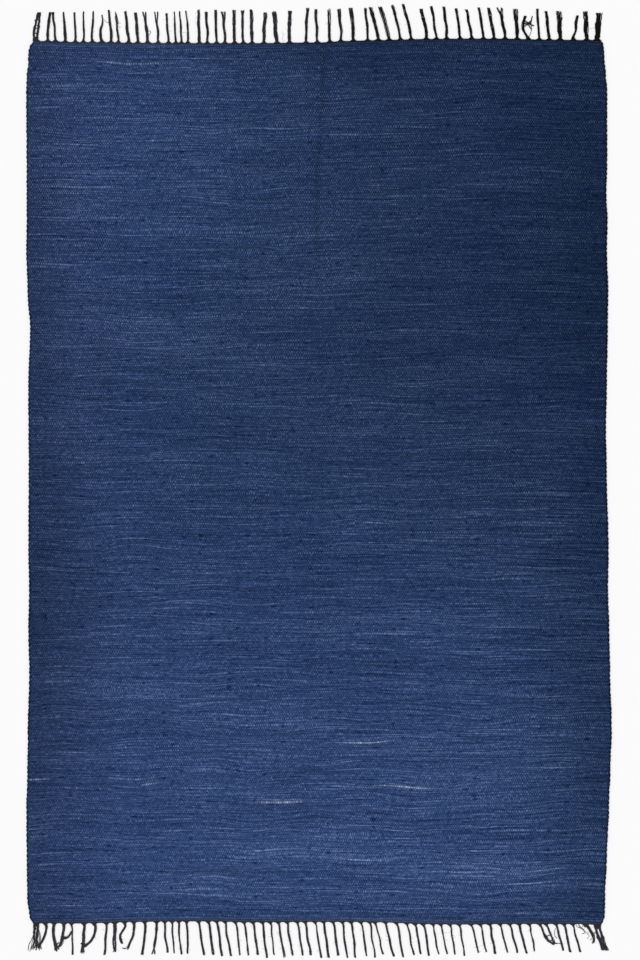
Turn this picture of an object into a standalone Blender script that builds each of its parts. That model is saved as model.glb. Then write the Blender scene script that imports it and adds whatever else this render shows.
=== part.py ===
"""A flat-woven rag rug lying flat: the woven panel and its two knotted fringes.

The rug lies on Z = 0 with its length along Y. The far end is +Y and the near end is -Y.
All sizes are in metres.
"""

import math
import random
from collections import namedtuple

import bmesh
import bpy

# Woven panel
WOVEN_LENGTH = 1.818
HALF_WIDTH = 0.600
THICKNESS = 0.0050
PICKS = 384  # passes of the rag weft, one raised rib each
RIB_DEPTH = 0.0012
PICK_SPREAD = 0.16  # how far a pick's width varies from the mean, as a share of it
LUMP = 0.0005  # how far the surface varies in height as the rag strips get thicker and thinner

# Selvedges: the weft turns round the outer warp end once in two picks
LOOP_DEPTH = 0.0014
LOOP_JITTER = 0.0004
SELVEDGE_HEIGHT = 0.0020  # the outermost point of the rounded edge
SHOULDER = 0.006  # from the edge to the full thickness
UNDER_SHOULDER_STEP = 0.038  # spacing of the points of the flat underside's long edges

# Storage fold across the middle of the far end, pressed in along the length
CREASE_X = 0.004
CREASE_LENGTH = 0.53
CREASE_FADE = 0.15
CREASE_HALF_WIDTH = 0.022
CREASE_DEPTH = 0.0009
INNER_SPREAD = 0.300  # place of the two inner columns where there is no crease

# Bow of the picks
BOW_SIDE = 0.008  # the picks climb by this much at the +X edge near the near end
BOW_START = 0.30  # from this X outwards
BOW_CENTRE = 0.20  # distance of the strongest bow from the near end
BOW_REACH = 0.22
RIPPLE = 0.0012
RIPPLE_ACROSS = 9.0  # radians a metre across the rug
RIPPLE_SLANT = 3.0  # radians a metre across the rug
RIPPLE_ALONG = 26.0  # radians over the rug's length
RIPPLE_DRIFT = 7.0  # radians over the rug's length
END_EASE = 8.0  # the picks run straight again within one part in this many from each end
PICK_SEED = 11

# Ends of the cloth and the heading, the line of knotted warp along each end
END_HEIGHT = 0.0036
END_POINTS = 100
END_ROWS = 3  # the first row of ribs stands this many half picks in from the end
GAP = 0.0003
HEADING_WIDTH = 0.0028
HEADING_HEIGHT = 0.0040
HEADING_OVERHANG = 0.0005  # the heading's ends stand this far past the cloth's corners

# Fringe strands
ROOT_WIDTH = 0.0110
ROOT_SHARE = 0.7  # a root takes at most this share of the distance to the next one
NECK = 0.004
NECK_HEIGHT = 0.0034
TIP_HEIGHT = 0.0018
STRAND_STATIONS = (0.44, 0.71, 1.0)  # places of a strand's sections beyond its neck
RIDGE_SHARE = 0.6  # width of a strand's upper side, as a share of its foot on the floor
PLACE_JITTER = 0.07  # share of the distance between strands
LENGTH_RANGE = (0.95, 1.04)
WIDTH_SCATTER = 0.20
LEAN_CURVE = 1.3  # a strand leans more and more towards its tip
WIGGLE = 0.0010
WIGGLE_TURN = 5.0  # radians over a strand's length
FAR_SEED = 21
NEAR_SEED = 22

Edge = namedtuple("Edge", "station left right")
# The long edges: distance from the far end, then how far each edge stands outside HALF_WIDTH.
SELVEDGES = [
    Edge(0.000, -0.0105, -0.0145),
    Edge(0.004, -0.0066, -0.0118),
    Edge(0.008, -0.0038, -0.0104),
    Edge(0.020, -0.0008, -0.0086),
    Edge(0.040, -0.0002, -0.0078),
    Edge(0.070, 0.0029, -0.0050),
    Edge(0.100, 0.0039, -0.0024),
    Edge(0.260, 0.0032, -0.0024),
    Edge(0.310, 0.0030, -0.0041),
    Edge(0.370, 0.0028, -0.0016),
    Edge(0.430, 0.0040, -0.0028),
    Edge(0.510, 0.0016, -0.0003),
    Edge(0.595, -0.0039, -0.0013),
    Edge(0.700, -0.0005, -0.0029),
    Edge(0.800, -0.0006, -0.0050),
    Edge(0.880, -0.0013, -0.0034),
    Edge(1.050, -0.0006, 0.0005),
    Edge(1.130, -0.0020, -0.0008),
    Edge(1.210, -0.0004, 0.0019),
    Edge(1.300, -0.0024, 0.0037),
    Edge(1.420, 0.0008, 0.0070),
    Edge(1.510, 0.0016, 0.0040),
    Edge(1.580, 0.0037, 0.0016),
    Edge(1.700, 0.0029, -0.0035),
    Edge(1.750, 0.0021, -0.0064),
    Edge(1.775, 0.0016, -0.0068),
    Edge(1.800, -0.0024, -0.0073),
    Edge(1.806, -0.0032, -0.0080),
    Edge(1.812, -0.0048, -0.0108),
    Edge(1.818, -0.0095, -0.0138),
]

End = namedtuple("End", "x far near")
# The short edges: place across the rug, then how far each end stands outside the mean length.
ENDS = [
    End(-0.595, 0.0003, 0.0018),
    End(-0.550, -0.0010, 0.0014),
    End(-0.500, -0.0026, 0.0020),
    End(-0.450, -0.0026, 0.0012),
    End(-0.390, -0.0040, -0.0010),
    End(-0.300, -0.0044, -0.0022),
    End(-0.220, -0.0048, -0.0024),
    End(-0.150, -0.0048, -0.0004),
    End(0.000, -0.0034, -0.0012),
    End(0.060, -0.0002, -0.0012),
    End(0.120, 0.0014, -0.0004),
    End(0.230, 0.0040, 0.0034),
    End(0.300, 0.0046, 0.0042),
    End(0.380, 0.0045, 0.0032),
    End(0.480, 0.0024, 0.0030),
    End(0.540, 0.0018, 0.0034),
    End(0.600, 0.0018, 0.0060),
]

Zone = namedtuple("Zone", "first last strands lean stray gather length width tip")
# Strands by zone, from -X to +X: first and last root, how many, the sideways lean of the tips and its
# scatter, how far the tips draw together (0 not at all, 1 to one point), the length, the width and the
# tip's share of that width.
FAR_ZONES = [
    Zone(-0.584, -0.584, 1, 0.006, 0.000, 0.00, 0.057, 0.0105, 1.00),
    Zone(-0.560, -0.542, 2, -0.001, 0.001, 0.55, 0.059, 0.0056, 1.10),
    Zone(-0.522, -0.429, 6, -0.002, 0.004, 0.00, 0.063, 0.0052, 0.82),
    Zone(-0.414, -0.310, 6, -0.005, 0.002, 0.00, 0.062, 0.0054, 1.00),
    Zone(-0.295, -0.270, 3, -0.004, 0.002, 0.00, 0.063, 0.0046, 1.00),
    Zone(-0.247, -0.138, 7, -0.003, 0.002, 0.00, 0.066, 0.0060, 1.25),
    Zone(-0.113, -0.060, 3, -0.001, 0.006, 0.00, 0.063, 0.0066, 1.20),
    Zone(-0.025, 0.047, 4, 0.000, 0.003, 0.00, 0.068, 0.0060, 1.35),
    Zone(0.072, 0.101, 2, -0.003, 0.002, 0.00, 0.066, 0.0056, 1.35),
    Zone(0.125, 0.192, 4, -0.018, 0.002, 0.00, 0.069, 0.0058, 1.45),
    Zone(0.223, 0.267, 3, -0.010, 0.006, 0.00, 0.064, 0.0058, 1.20),
    Zone(0.295, 0.386, 5, -0.011, 0.003, 0.00, 0.062, 0.0054, 1.25),
    Zone(0.411, 0.411, 1, -0.003, 0.000, 0.00, 0.060, 0.0050, 1.75),
    Zone(0.434, 0.478, 3, -0.007, 0.002, 0.00, 0.060, 0.0060, 1.20),
    Zone(0.500, 0.500, 1, -0.003, 0.000, 0.00, 0.057, 0.0060, 1.55),
    Zone(0.528, 0.528, 1, 0.002, 0.000, 0.00, 0.055, 0.0056, 1.30),
    Zone(0.555, 0.555, 1, -0.003, 0.000, 0.00, 0.056, 0.0060, 1.75),
    Zone(0.577, 0.577, 1, 0.004, 0.000, 0.00, 0.054, 0.0116, 1.12),
]
NEAR_ZONES = [
    Zone(-0.583, -0.583, 1, -0.002, 0.000, 0.00, 0.057, 0.0098, 1.10),
    Zone(-0.564, -0.564, 1, -0.008, 0.000, 0.00, 0.054, 0.0048, 1.10),
    Zone(-0.547, -0.527, 2, -0.004, 0.000, 0.55, 0.058, 0.0054, 1.10),
    Zone(-0.510, -0.510, 1, 0.003, 0.000, 0.00, 0.062, 0.0036, 1.00),
    Zone(-0.485, -0.463, 2, -0.009, 0.000, 0.55, 0.061, 0.0050, 1.10),
    Zone(-0.438, -0.381, 4, -0.002, 0.004, 0.00, 0.063, 0.0046, 1.00),
    Zone(-0.358, -0.334, 2, -0.005, 0.002, 0.00, 0.067, 0.0046, 1.00),
    Zone(-0.317, -0.272, 4, 0.005, 0.003, 0.00, 0.066, 0.0038, 1.05),
    Zone(-0.246, -0.132, 7, 0.009, 0.002, 0.00, 0.069, 0.0045, 1.15),
    Zone(-0.113, -0.097, 2, 0.006, 0.001, 0.00, 0.070, 0.0040, 1.10),
    Zone(-0.080, 0.108, 11, 0.009, 0.002, 0.00, 0.071, 0.0042, 1.15),
    Zone(0.121, 0.184, 4, 0.015, 0.002, 0.00, 0.067, 0.0040, 1.20),
    Zone(0.201, 0.294, 6, 0.009, 0.002, 0.00, 0.062, 0.0040, 1.15),
    Zone(0.317, 0.439, 7, 0.012, 0.003, 0.00, 0.058, 0.0044, 1.10),
    Zone(0.459, 0.474, 2, 0.018, 0.001, 0.45, 0.052, 0.0044, 1.10),
    Zone(0.493, 0.529, 3, 0.012, 0.002, 0.00, 0.055, 0.0046, 1.10),
    Zone(0.553, 0.553, 1, 0.013, 0.000, 0.00, 0.044, 0.0066, 1.00),
    Zone(0.577, 0.577, 1, 0.016, 0.000, 0.00, 0.052, 0.0120, 1.05),
]

INDIGO = (0.022, 0.046, 0.117)
WARP_NAVY = (0.012, 0.011, 0.019)
COTTON_ROUGHNESS = 0.9


def smooth_step(value):
    """0 at 0 and 1 at 1, with no slope at either."""
    value = min(max(value, 0.0), 1.0)
    return value * value * (3.0 - 2.0 * value)


def read_table(rows, column, place):
    """A named column of a table at a place along its first column, eased between rows."""
    if place <= rows[0][0]:
        return getattr(rows[0], column)
    for below, above in zip(rows, rows[1:]):
        if place <= above[0]:
            share = (place - below[0]) / (above[0] - below[0])
            low, high = getattr(below, column), getattr(above, column)
            return low + (high - low) * smooth_step(share)
    return getattr(rows[-1], column)


def end_y(x, side):
    """Y of the cloth's end at X, for side +1 (far) or -1 (near)."""
    column = "far" if side > 0 else "near"
    return side * (WOVEN_LENGTH / 2 + read_table(ENDS, column, x))


def edge_x(share, side):
    """X of a selvedge at a share of the length from the near end, for side +1 (right) or -1 (left)."""
    column = "right" if side > 0 else "left"
    return side * (HALF_WIDTH + read_table(SELVEDGES, column, (1.0 - share) * WOVEN_LENGTH))


def pick_shift(x, share):
    """How far a pick at this share of the length is pushed along Y: ripples, and a bow at one side."""
    inside = smooth_step(END_EASE * share) * smooth_step(END_EASE * (1.0 - share))
    from_near = share * WOVEN_LENGTH
    crosswise = math.sin(RIPPLE_ACROSS * x + RIPPLE_DRIFT * share)
    ripple = RIPPLE * crosswise * math.sin(RIPPLE_ALONG * share + RIPPLE_SLANT * x)
    outward = smooth_step((x - BOW_START) / (HALF_WIDTH - BOW_START))
    bow = BOW_SIDE * outward * math.exp(-(((from_near - BOW_CENTRE) / BOW_REACH) ** 2))
    return inside * (ripple + bow)


def crease_strength(share):
    """1 along the storage fold, fading to 0 before the middle of the rug."""
    return smooth_step(((share - 1.0) * WOVEN_LENGTH + CREASE_LENGTH) / CREASE_FADE)


def column_places(share):
    """X of the five raised columns of a row of points, from the left shoulder to the right one."""
    spread = CREASE_HALF_WIDTH + (INNER_SPREAD - CREASE_HALF_WIDTH) * (1.0 - crease_strength(share))
    inner = [CREASE_X - spread, CREASE_X, CREASE_X + spread]
    return [edge_x(share, -1) + SHOULDER, *inner, edge_x(share, 1) - SHOULDER]


def rug_y(x, share):
    """Y at a share of the length, carried between the two uneven ends."""
    near, far = end_y(x, -1), end_y(x, 1)
    return near + (far - near) * share + pick_shift(x, share)


def row_shares(dice):
    """Where every groove and rib lies, as shares of the length from the near end."""
    widths = [dice.uniform(1.0 - PICK_SPREAD, 1.0 + PICK_SPREAD) for _ in range(PICKS)]
    total, start, shares = sum(widths), 0.0, []
    for width in widths:
        shares += [start / total, (start + width / 2) / total]
        start += width
    return [*shares, 1.0]


def surface_row(mesh, row, share, dice):
    """One row of seven points from selvedge to selvedge. Odd rows are the ribs, even rows the grooves."""
    height = THICKNESS - (0.0 if row % 2 else RIB_DEPTH)
    points = []
    for number, x in enumerate(column_places(share)):
        dip = CREASE_DEPTH * crease_strength(share) if number == 2 else 0.0
        z = height - dip - LUMP * dice.random()
        points.append((x, rug_y(x, share), z))
    for side in (-1, 1):
        turn = math.pi * row / 2 + (math.pi if side > 0 else 0.0)
        loop = LOOP_DEPTH * (math.cos(turn) - 1.0) / 2 + LOOP_JITTER * (dice.random() - 0.5)
        x = edge_x(share, side) + side * loop
        edge = (x, rug_y(x, share), SELVEDGE_HEIGHT)
        points.insert(0 if side < 0 else len(points), edge)
    return [mesh.verts.new(point) for point in points]


def end_row(mesh, side, height):
    """The points along one end of the cloth, at one height."""
    share = 1.0 if side > 0 else 0.0
    left, right = edge_x(share, -1), edge_x(share, 1)
    places = [left + (right - left) * number / END_POINTS for number in range(END_POINTS + 1)]
    return [mesh.verts.new((x, end_y(x, side), height)) for x in places]


def zip_rows(mesh, one, other, axis):
    """Fills the band between two rows of points with triangles, walking both along an axis."""

    def middle(row, number):
        return row[number].co[axis] + row[number + 1].co[axis]

    first, second = 0, 0
    while first < len(one) - 1 or second < len(other) - 1:
        step_one = second == len(other) - 1 or (
            first < len(one) - 1 and middle(one, first) < middle(other, second)
        )
        ahead = one[first + 1] if step_one else other[second + 1]
        mesh.faces.new((one[first], ahead, other[second]))
        if step_one:
            first += 1
        else:
            second += 1


def quad_rows(mesh, one, other):
    """Fills the band between two rows of as many points with quads."""
    for number in range(len(one) - 1):
        mesh.faces.new((one[number], one[number + 1], other[number + 1], other[number]))


def under_shoulder(mesh, side):
    """The long edge of the flat underside, inside the rounded selvedge."""
    steps = round(WOVEN_LENGTH / UNDER_SHOULDER_STEP)
    points = []
    for number in range(1, steps):
        share = number / steps
        x = edge_x(share, side) - side * SHOULDER
        points.append(mesh.verts.new((x, rug_y(x, share), 0.0)))
    return points


def finish_mesh(mesh, name, colour):
    """Turns a closed bmesh into a named object with its own material."""
    bmesh.ops.recalc_face_normals(mesh, faces=mesh.faces)
    data = bpy.data.meshes.new(name)
    mesh.to_mesh(data)
    mesh.free()
    material = bpy.data.materials.new(name + "_cotton")
    material.use_nodes = True
    shader = material.node_tree.nodes["Principled BSDF"]
    shader.inputs["Base Color"].default_value = (*colour, 1.0)
    shader.inputs["Roughness"].default_value = COTTON_ROUGHNESS
    shader.inputs["Metallic"].default_value = 0.0
    data.materials.append(material)
    part = bpy.data.objects.new(name, data)
    bpy.context.collection.objects.link(part)
    return part


def make_panel():
    """The woven panel: ribbed above, flat below, with looped selvedges."""
    mesh = bmesh.new()
    dice = random.Random(PICK_SEED)
    shares = row_shares(dice)
    inner = range(END_ROWS, 2 * PICKS - END_ROWS + 1)
    rows = [surface_row(mesh, row, shares[row], dice) for row in inner]
    for below, above in zip(rows, rows[1:]):
        quad_rows(mesh, below, above)

    undersides = {side: under_shoulder(mesh, side) for side in (-1, 1)}
    foot_rows = {}
    for side, nearest in ((-1, rows[0]), (1, rows[-1])):
        top, foot = end_row(mesh, side, END_HEIGHT), end_row(mesh, side, 0.0)
        zip_rows(mesh, nearest, top, 0)
        quad_rows(mesh, top, foot)
        for corner, outer in ((0, nearest[0]), (-1, nearest[-1])):
            mesh.faces.new((outer, top[corner], foot[corner]))
        foot_rows[side] = foot

    for side, corner in ((-1, 0), (1, -1)):
        edge = [row[corner] for row in rows]
        lower = [foot_rows[-1][corner], *undersides[side], foot_rows[1][corner]]
        zip_rows(mesh, edge, lower, 1)
    mesh.faces.new([*foot_rows[-1], *undersides[1], *reversed(foot_rows[1]), *reversed(undersides[-1])])
    return finish_mesh(mesh, "woven_panel", INDIGO)


Strand = namedtuple("Strand", "root tip_shift length width tip bend")


def lay_out_strands(zones, seed):
    """Every strand of one fringe, worked out from its zones."""
    dice = random.Random(seed)
    strands = []
    for zone in zones:
        middle = (zone.first + zone.last) / 2
        pitch = (zone.last - zone.first) / max(zone.strands - 1, 1)
        for number in range(zone.strands):
            root = zone.first + pitch * number
            root += pitch * PLACE_JITTER * dice.uniform(-1, 1)
            shift = zone.lean + zone.stray * dice.uniform(-1, 1) + zone.gather * (middle - root)
            length = zone.length * dice.uniform(*LENGTH_RANGE)
            width = zone.width * dice.uniform(1.0 - WIDTH_SCATTER, 1.0 + WIDTH_SCATTER)
            bend = WIGGLE * dice.uniform(-1, 1)
            strands.append(Strand(root, shift, length, width, zone.tip, bend))
    return strands


def heading_station(mesh, x, side):
    """Four points of the heading at X: inner foot, inner top, outer top, outer foot."""
    inner = end_y(x, side) + side * GAP
    outer = inner + side * HEADING_WIDTH
    profile = [(inner, 0.0), (inner, HEADING_HEIGHT), (outer, HEADING_HEIGHT), (outer, 0.0)]
    return [mesh.verts.new((x, y, z)) for y, z in profile]


def strand_section(mesh, x, y, width, height):
    """Four points across a strand: left foot, left top, right top, right foot."""
    foot, ridge = width / 2, width / 2 * RIDGE_SHARE
    profile = [(x - foot, 0.0), (x - ridge, height), (x + ridge, height), (x + foot, 0.0)]
    return [mesh.verts.new((across, y, z)) for across, z in profile]


def grow_strand(mesh, strand, root_section, side):
    """A strand from its root in the heading to its cut tip, flat on the floor."""
    start = end_y(strand.root, side) + side * (GAP + HEADING_WIDTH)
    section = root_section
    for along in (NECK / strand.length, *STRAND_STATIONS):
        taper = 1.0 + (strand.tip - 1.0) * along
        x = strand.root + strand.tip_shift * along**LEAN_CURVE + strand.bend * math.sin(WIGGLE_TURN * along)
        height = NECK_HEIGHT + (TIP_HEIGHT - NECK_HEIGHT) * along
        y = start + side * strand.length * along
        following = strand_section(mesh, x, y, strand.width * taper, height)
        quad_rows(mesh, [*section, section[0]], [*following, following[0]])
        section = following
    mesh.faces.new(section)


def make_fringe(name, zones, side, seed):
    """One fringe: the knotted heading along an end of the cloth, and the strands fused to it."""
    mesh = bmesh.new()
    strands = lay_out_strands(zones, seed)
    share = 1.0 if side > 0 else 0.0
    stations = [heading_station(mesh, edge_x(share, -1) - HEADING_OVERHANG, side)]
    for number, strand in enumerate(strands):
        near_by = [abs(other.root - strand.root) for other in strands if other is not strand]
        half = min(max(ROOT_WIDTH, strand.width), ROOT_SHARE * min(near_by)) / 2
        left = heading_station(mesh, strand.root - half, side)
        right = heading_station(mesh, strand.root + half, side)
        stations += [left, right]
        grow_strand(mesh, strand, [left[3], left[2], right[2], right[3]], side)
    stations.append(heading_station(mesh, edge_x(share, 1) + HEADING_OVERHANG, side))

    mesh.faces.new(stations[0])
    mesh.faces.new(stations[-1])
    for number, (left, right) in enumerate(zip(stations, stations[1:])):
        for corner in range(4):
            under_a_root = corner == 2 and number % 2 == 1
            if not under_a_root:
                following = (corner + 1) % 4
                mesh.faces.new((left[corner], right[corner], right[following], left[following]))
    return finish_mesh(mesh, name, WARP_NAVY)


def centre_over_origin(parts):
    """Moves the whole rug so that the middle of its outline is over the origin."""
    corners = [vertex.co for part in parts for vertex in part.data.vertices]
    middle_x = (min(c.x for c in corners) + max(c.x for c in corners)) / 2
    middle_y = (min(c.y for c in corners) + max(c.y for c in corners)) / 2
    for part in parts:
        part.location = (-middle_x, -middle_y, 0.0)


def main():
    for leftover in list(bpy.data.objects):
        bpy.data.objects.remove(leftover, do_unlink=True)
    parts = [
        make_panel(),
        make_fringe("fringe_far", FAR_ZONES, 1, FAR_SEED),
        make_fringe("fringe_near", NEAR_ZONES, -1, NEAR_SEED),
    ]
    centre_over_origin(parts)


main()
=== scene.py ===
"""The looks of the rag rug: its ribbed weave, its two fringes, the floor, the light and the camera.

Sizes are in metres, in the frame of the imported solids: the rug lies on Z = 0 with its length along Y.
The outline, the picks and the strands are worked out from the same named sizes as the solids.
"""

import math
import random
from collections import namedtuple

import bpy
import numpy as np
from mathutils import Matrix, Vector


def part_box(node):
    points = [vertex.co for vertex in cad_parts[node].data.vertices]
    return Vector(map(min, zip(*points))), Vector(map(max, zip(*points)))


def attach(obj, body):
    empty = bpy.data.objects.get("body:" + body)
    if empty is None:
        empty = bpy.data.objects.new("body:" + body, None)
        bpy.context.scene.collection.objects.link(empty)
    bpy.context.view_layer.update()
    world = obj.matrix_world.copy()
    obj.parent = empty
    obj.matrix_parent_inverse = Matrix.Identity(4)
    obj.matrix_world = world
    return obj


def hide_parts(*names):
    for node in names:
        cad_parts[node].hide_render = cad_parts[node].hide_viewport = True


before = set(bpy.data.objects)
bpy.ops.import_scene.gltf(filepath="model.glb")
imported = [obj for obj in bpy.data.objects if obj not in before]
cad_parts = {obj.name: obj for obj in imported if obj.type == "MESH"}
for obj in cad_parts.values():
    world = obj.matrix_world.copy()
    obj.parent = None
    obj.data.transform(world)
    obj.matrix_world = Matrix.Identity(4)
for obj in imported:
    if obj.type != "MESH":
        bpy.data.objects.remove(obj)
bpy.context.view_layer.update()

# ---------------------------------------------------------------- sizes shared with the solids

WOVEN_LENGTH = 1.818
HALF_WIDTH = 0.600
THICKNESS = 0.0050
PICKS = 384  # passes of the rag weft, one raised rib each
PICK_SPREAD = 0.16  # how far a pick's width varies from the mean, as a share of it
LOOP_DEPTH = 0.0014  # the weft turns round the outer warp end once in two picks
SHOULDER = 0.006  # from the selvedge to the full thickness
CREASE_X = 0.004
CREASE_LENGTH = 0.53
CREASE_FADE = 0.15
BOW_SIDE = 0.008  # the picks climb by this much at the +X edge near the near end
BOW_START = 0.30
BOW_CENTRE = 0.20
BOW_REACH = 0.22
RIPPLE = 0.0012
RIPPLE_ACROSS = 9.0  # radians a metre across the rug
RIPPLE_SLANT = 3.0  # radians a metre across the rug
RIPPLE_ALONG = 26.0  # radians over the rug's length
RIPPLE_DRIFT = 7.0  # radians over the rug's length
END_EASE = 8.0  # the picks run straight again within one part in this many from each end
GAP = 0.0003
HEADING_WIDTH = 0.0028
HEADING_OVERHANG = 0.0005
NECK_HEIGHT = 0.0034
TIP_HEIGHT = 0.0018
LENGTH_RANGE = (0.95, 1.04)
WIDTH_SCATTER = 0.20
LEAN_CURVE = 1.3  # a strand leans more and more towards its tip
PLACE_JITTER = 0.07
WIGGLE = 0.0010
WIGGLE_TURN = 5.0  # radians over a strand's length
PICK_SEED = 11
FAR_SEED = 21
NEAR_SEED = 22

FAR, NEAR = 1, -1  # the two ends, as the sign of their Y
RIGHT, LEFT = 1, -1  # the two long edges, as the sign of their X

Edge = namedtuple("Edge", "station left right")
# The long edges: distance from the far end, then how far each edge stands outside HALF_WIDTH.
SELVEDGES = [
    Edge(0.000, -0.0105, -0.0145),
    Edge(0.004, -0.0066, -0.0118),
    Edge(0.008, -0.0038, -0.0104),
    Edge(0.020, -0.0008, -0.0086),
    Edge(0.040, -0.0002, -0.0078),
    Edge(0.070, 0.0029, -0.0050),
    Edge(0.100, 0.0039, -0.0024),
    Edge(0.260, 0.0032, -0.0024),
    Edge(0.310, 0.0030, -0.0041),
    Edge(0.370, 0.0028, -0.0016),
    Edge(0.430, 0.0040, -0.0028),
    Edge(0.510, 0.0016, -0.0003),
    Edge(0.595, -0.0039, -0.0013),
    Edge(0.700, -0.0005, -0.0029),
    Edge(0.800, -0.0006, -0.0050),
    Edge(0.880, -0.0013, -0.0034),
    Edge(1.050, -0.0006, 0.0005),
    Edge(1.130, -0.0020, -0.0008),
    Edge(1.210, -0.0004, 0.0019),
    Edge(1.300, -0.0024, 0.0037),
    Edge(1.420, 0.0008, 0.0070),
    Edge(1.510, 0.0016, 0.0040),
    Edge(1.580, 0.0037, 0.0016),
    Edge(1.700, 0.0029, -0.0035),
    Edge(1.750, 0.0021, -0.0064),
    Edge(1.775, 0.0016, -0.0068),
    Edge(1.800, -0.0024, -0.0073),
    Edge(1.806, -0.0032, -0.0080),
    Edge(1.812, -0.0048, -0.0108),
    Edge(1.818, -0.0095, -0.0138),
]

End = namedtuple("End", "x far near")
# The short edges: place across the rug, then how far each end stands outside the mean length.
ENDS = [
    End(-0.595, 0.0003, 0.0018),
    End(-0.550, -0.0010, 0.0014),
    End(-0.500, -0.0026, 0.0020),
    End(-0.450, -0.0026, 0.0012),
    End(-0.390, -0.0040, -0.0010),
    End(-0.300, -0.0044, -0.0022),
    End(-0.220, -0.0048, -0.0024),
    End(-0.150, -0.0048, -0.0004),
    End(0.000, -0.0034, -0.0012),
    End(0.060, -0.0002, -0.0012),
    End(0.120, 0.0014, -0.0004),
    End(0.230, 0.0040, 0.0034),
    End(0.300, 0.0046, 0.0042),
    End(0.380, 0.0045, 0.0032),
    End(0.480, 0.0024, 0.0030),
    End(0.540, 0.0018, 0.0034),
    End(0.600, 0.0018, 0.0060),
]

Zone = namedtuple("Zone", "first last strands lean stray gather length width tip")
# Strands by zone, from -X to +X: first and last root, how many, the sideways lean of the tips and its
# scatter, how far the tips draw together (0 not at all, 1 to one point), the length, the width and the
# tip's share of that width.
FAR_ZONES = [
    Zone(-0.584, -0.584, 1, 0.006, 0.000, 0.00, 0.057, 0.0105, 1.00),
    Zone(-0.560, -0.542, 2, -0.001, 0.001, 0.55, 0.059, 0.0056, 1.10),
    Zone(-0.522, -0.429, 6, -0.002, 0.004, 0.00, 0.063, 0.0052, 0.82),
    Zone(-0.414, -0.310, 6, -0.005, 0.002, 0.00, 0.062, 0.0054, 1.00),
    Zone(-0.295, -0.270, 3, -0.004, 0.002, 0.00, 0.063, 0.0046, 1.00),
    Zone(-0.247, -0.138, 7, -0.003, 0.002, 0.00, 0.066, 0.0060, 1.25),
    Zone(-0.113, -0.060, 3, -0.001, 0.006, 0.00, 0.063, 0.0066, 1.20),
    Zone(-0.025, 0.047, 4, 0.000, 0.003, 0.00, 0.068, 0.0060, 1.35),
    Zone(0.072, 0.101, 2, -0.003, 0.002, 0.00, 0.066, 0.0056, 1.35),
    Zone(0.125, 0.192, 4, -0.018, 0.002, 0.00, 0.069, 0.0058, 1.45),
    Zone(0.223, 0.267, 3, -0.010, 0.006, 0.00, 0.064, 0.0058, 1.20),
    Zone(0.295, 0.386, 5, -0.011, 0.003, 0.00, 0.062, 0.0054, 1.25),
    Zone(0.411, 0.411, 1, -0.003, 0.000, 0.00, 0.060, 0.0050, 1.75),
    Zone(0.434, 0.478, 3, -0.007, 0.002, 0.00, 0.060, 0.0060, 1.20),
    Zone(0.500, 0.500, 1, -0.003, 0.000, 0.00, 0.057, 0.0060, 1.55),
    Zone(0.528, 0.528, 1, 0.002, 0.000, 0.00, 0.055, 0.0056, 1.30),
    Zone(0.555, 0.555, 1, -0.003, 0.000, 0.00, 0.056, 0.0060, 1.75),
    Zone(0.577, 0.577, 1, 0.004, 0.000, 0.00, 0.054, 0.0116, 1.12),
]
NEAR_ZONES = [
    Zone(-0.583, -0.583, 1, -0.002, 0.000, 0.00, 0.057, 0.0098, 1.10),
    Zone(-0.564, -0.564, 1, -0.008, 0.000, 0.00, 0.054, 0.0048, 1.10),
    Zone(-0.547, -0.527, 2, -0.004, 0.000, 0.55, 0.058, 0.0054, 1.10),
    Zone(-0.510, -0.510, 1, 0.003, 0.000, 0.00, 0.062, 0.0036, 1.00),
    Zone(-0.485, -0.463, 2, -0.009, 0.000, 0.55, 0.061, 0.0050, 1.10),
    Zone(-0.438, -0.381, 4, -0.002, 0.004, 0.00, 0.063, 0.0046, 1.00),
    Zone(-0.358, -0.334, 2, -0.005, 0.002, 0.00, 0.067, 0.0046, 1.00),
    Zone(-0.317, -0.272, 4, 0.005, 0.003, 0.00, 0.066, 0.0038, 1.05),
    Zone(-0.246, -0.132, 7, 0.009, 0.002, 0.00, 0.069, 0.0045, 1.15),
    Zone(-0.113, -0.097, 2, 0.006, 0.001, 0.00, 0.070, 0.0040, 1.10),
    Zone(-0.080, 0.108, 11, 0.009, 0.002, 0.00, 0.071, 0.0042, 1.15),
    Zone(0.121, 0.184, 4, 0.015, 0.002, 0.00, 0.067, 0.0040, 1.20),
    Zone(0.201, 0.294, 6, 0.009, 0.002, 0.00, 0.062, 0.0040, 1.15),
    Zone(0.317, 0.439, 7, 0.012, 0.003, 0.00, 0.058, 0.0044, 1.10),
    Zone(0.459, 0.474, 2, 0.018, 0.001, 0.45, 0.052, 0.0044, 1.10),
    Zone(0.493, 0.529, 3, 0.012, 0.002, 0.00, 0.055, 0.0046, 1.10),
    Zone(0.553, 0.553, 1, 0.013, 0.000, 0.00, 0.044, 0.0066, 1.00),
    Zone(0.577, 0.577, 1, 0.016, 0.000, 0.00, 0.052, 0.0120, 1.05),
]

# ---------------------------------------------------------------- sizes of the finer surface

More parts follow.
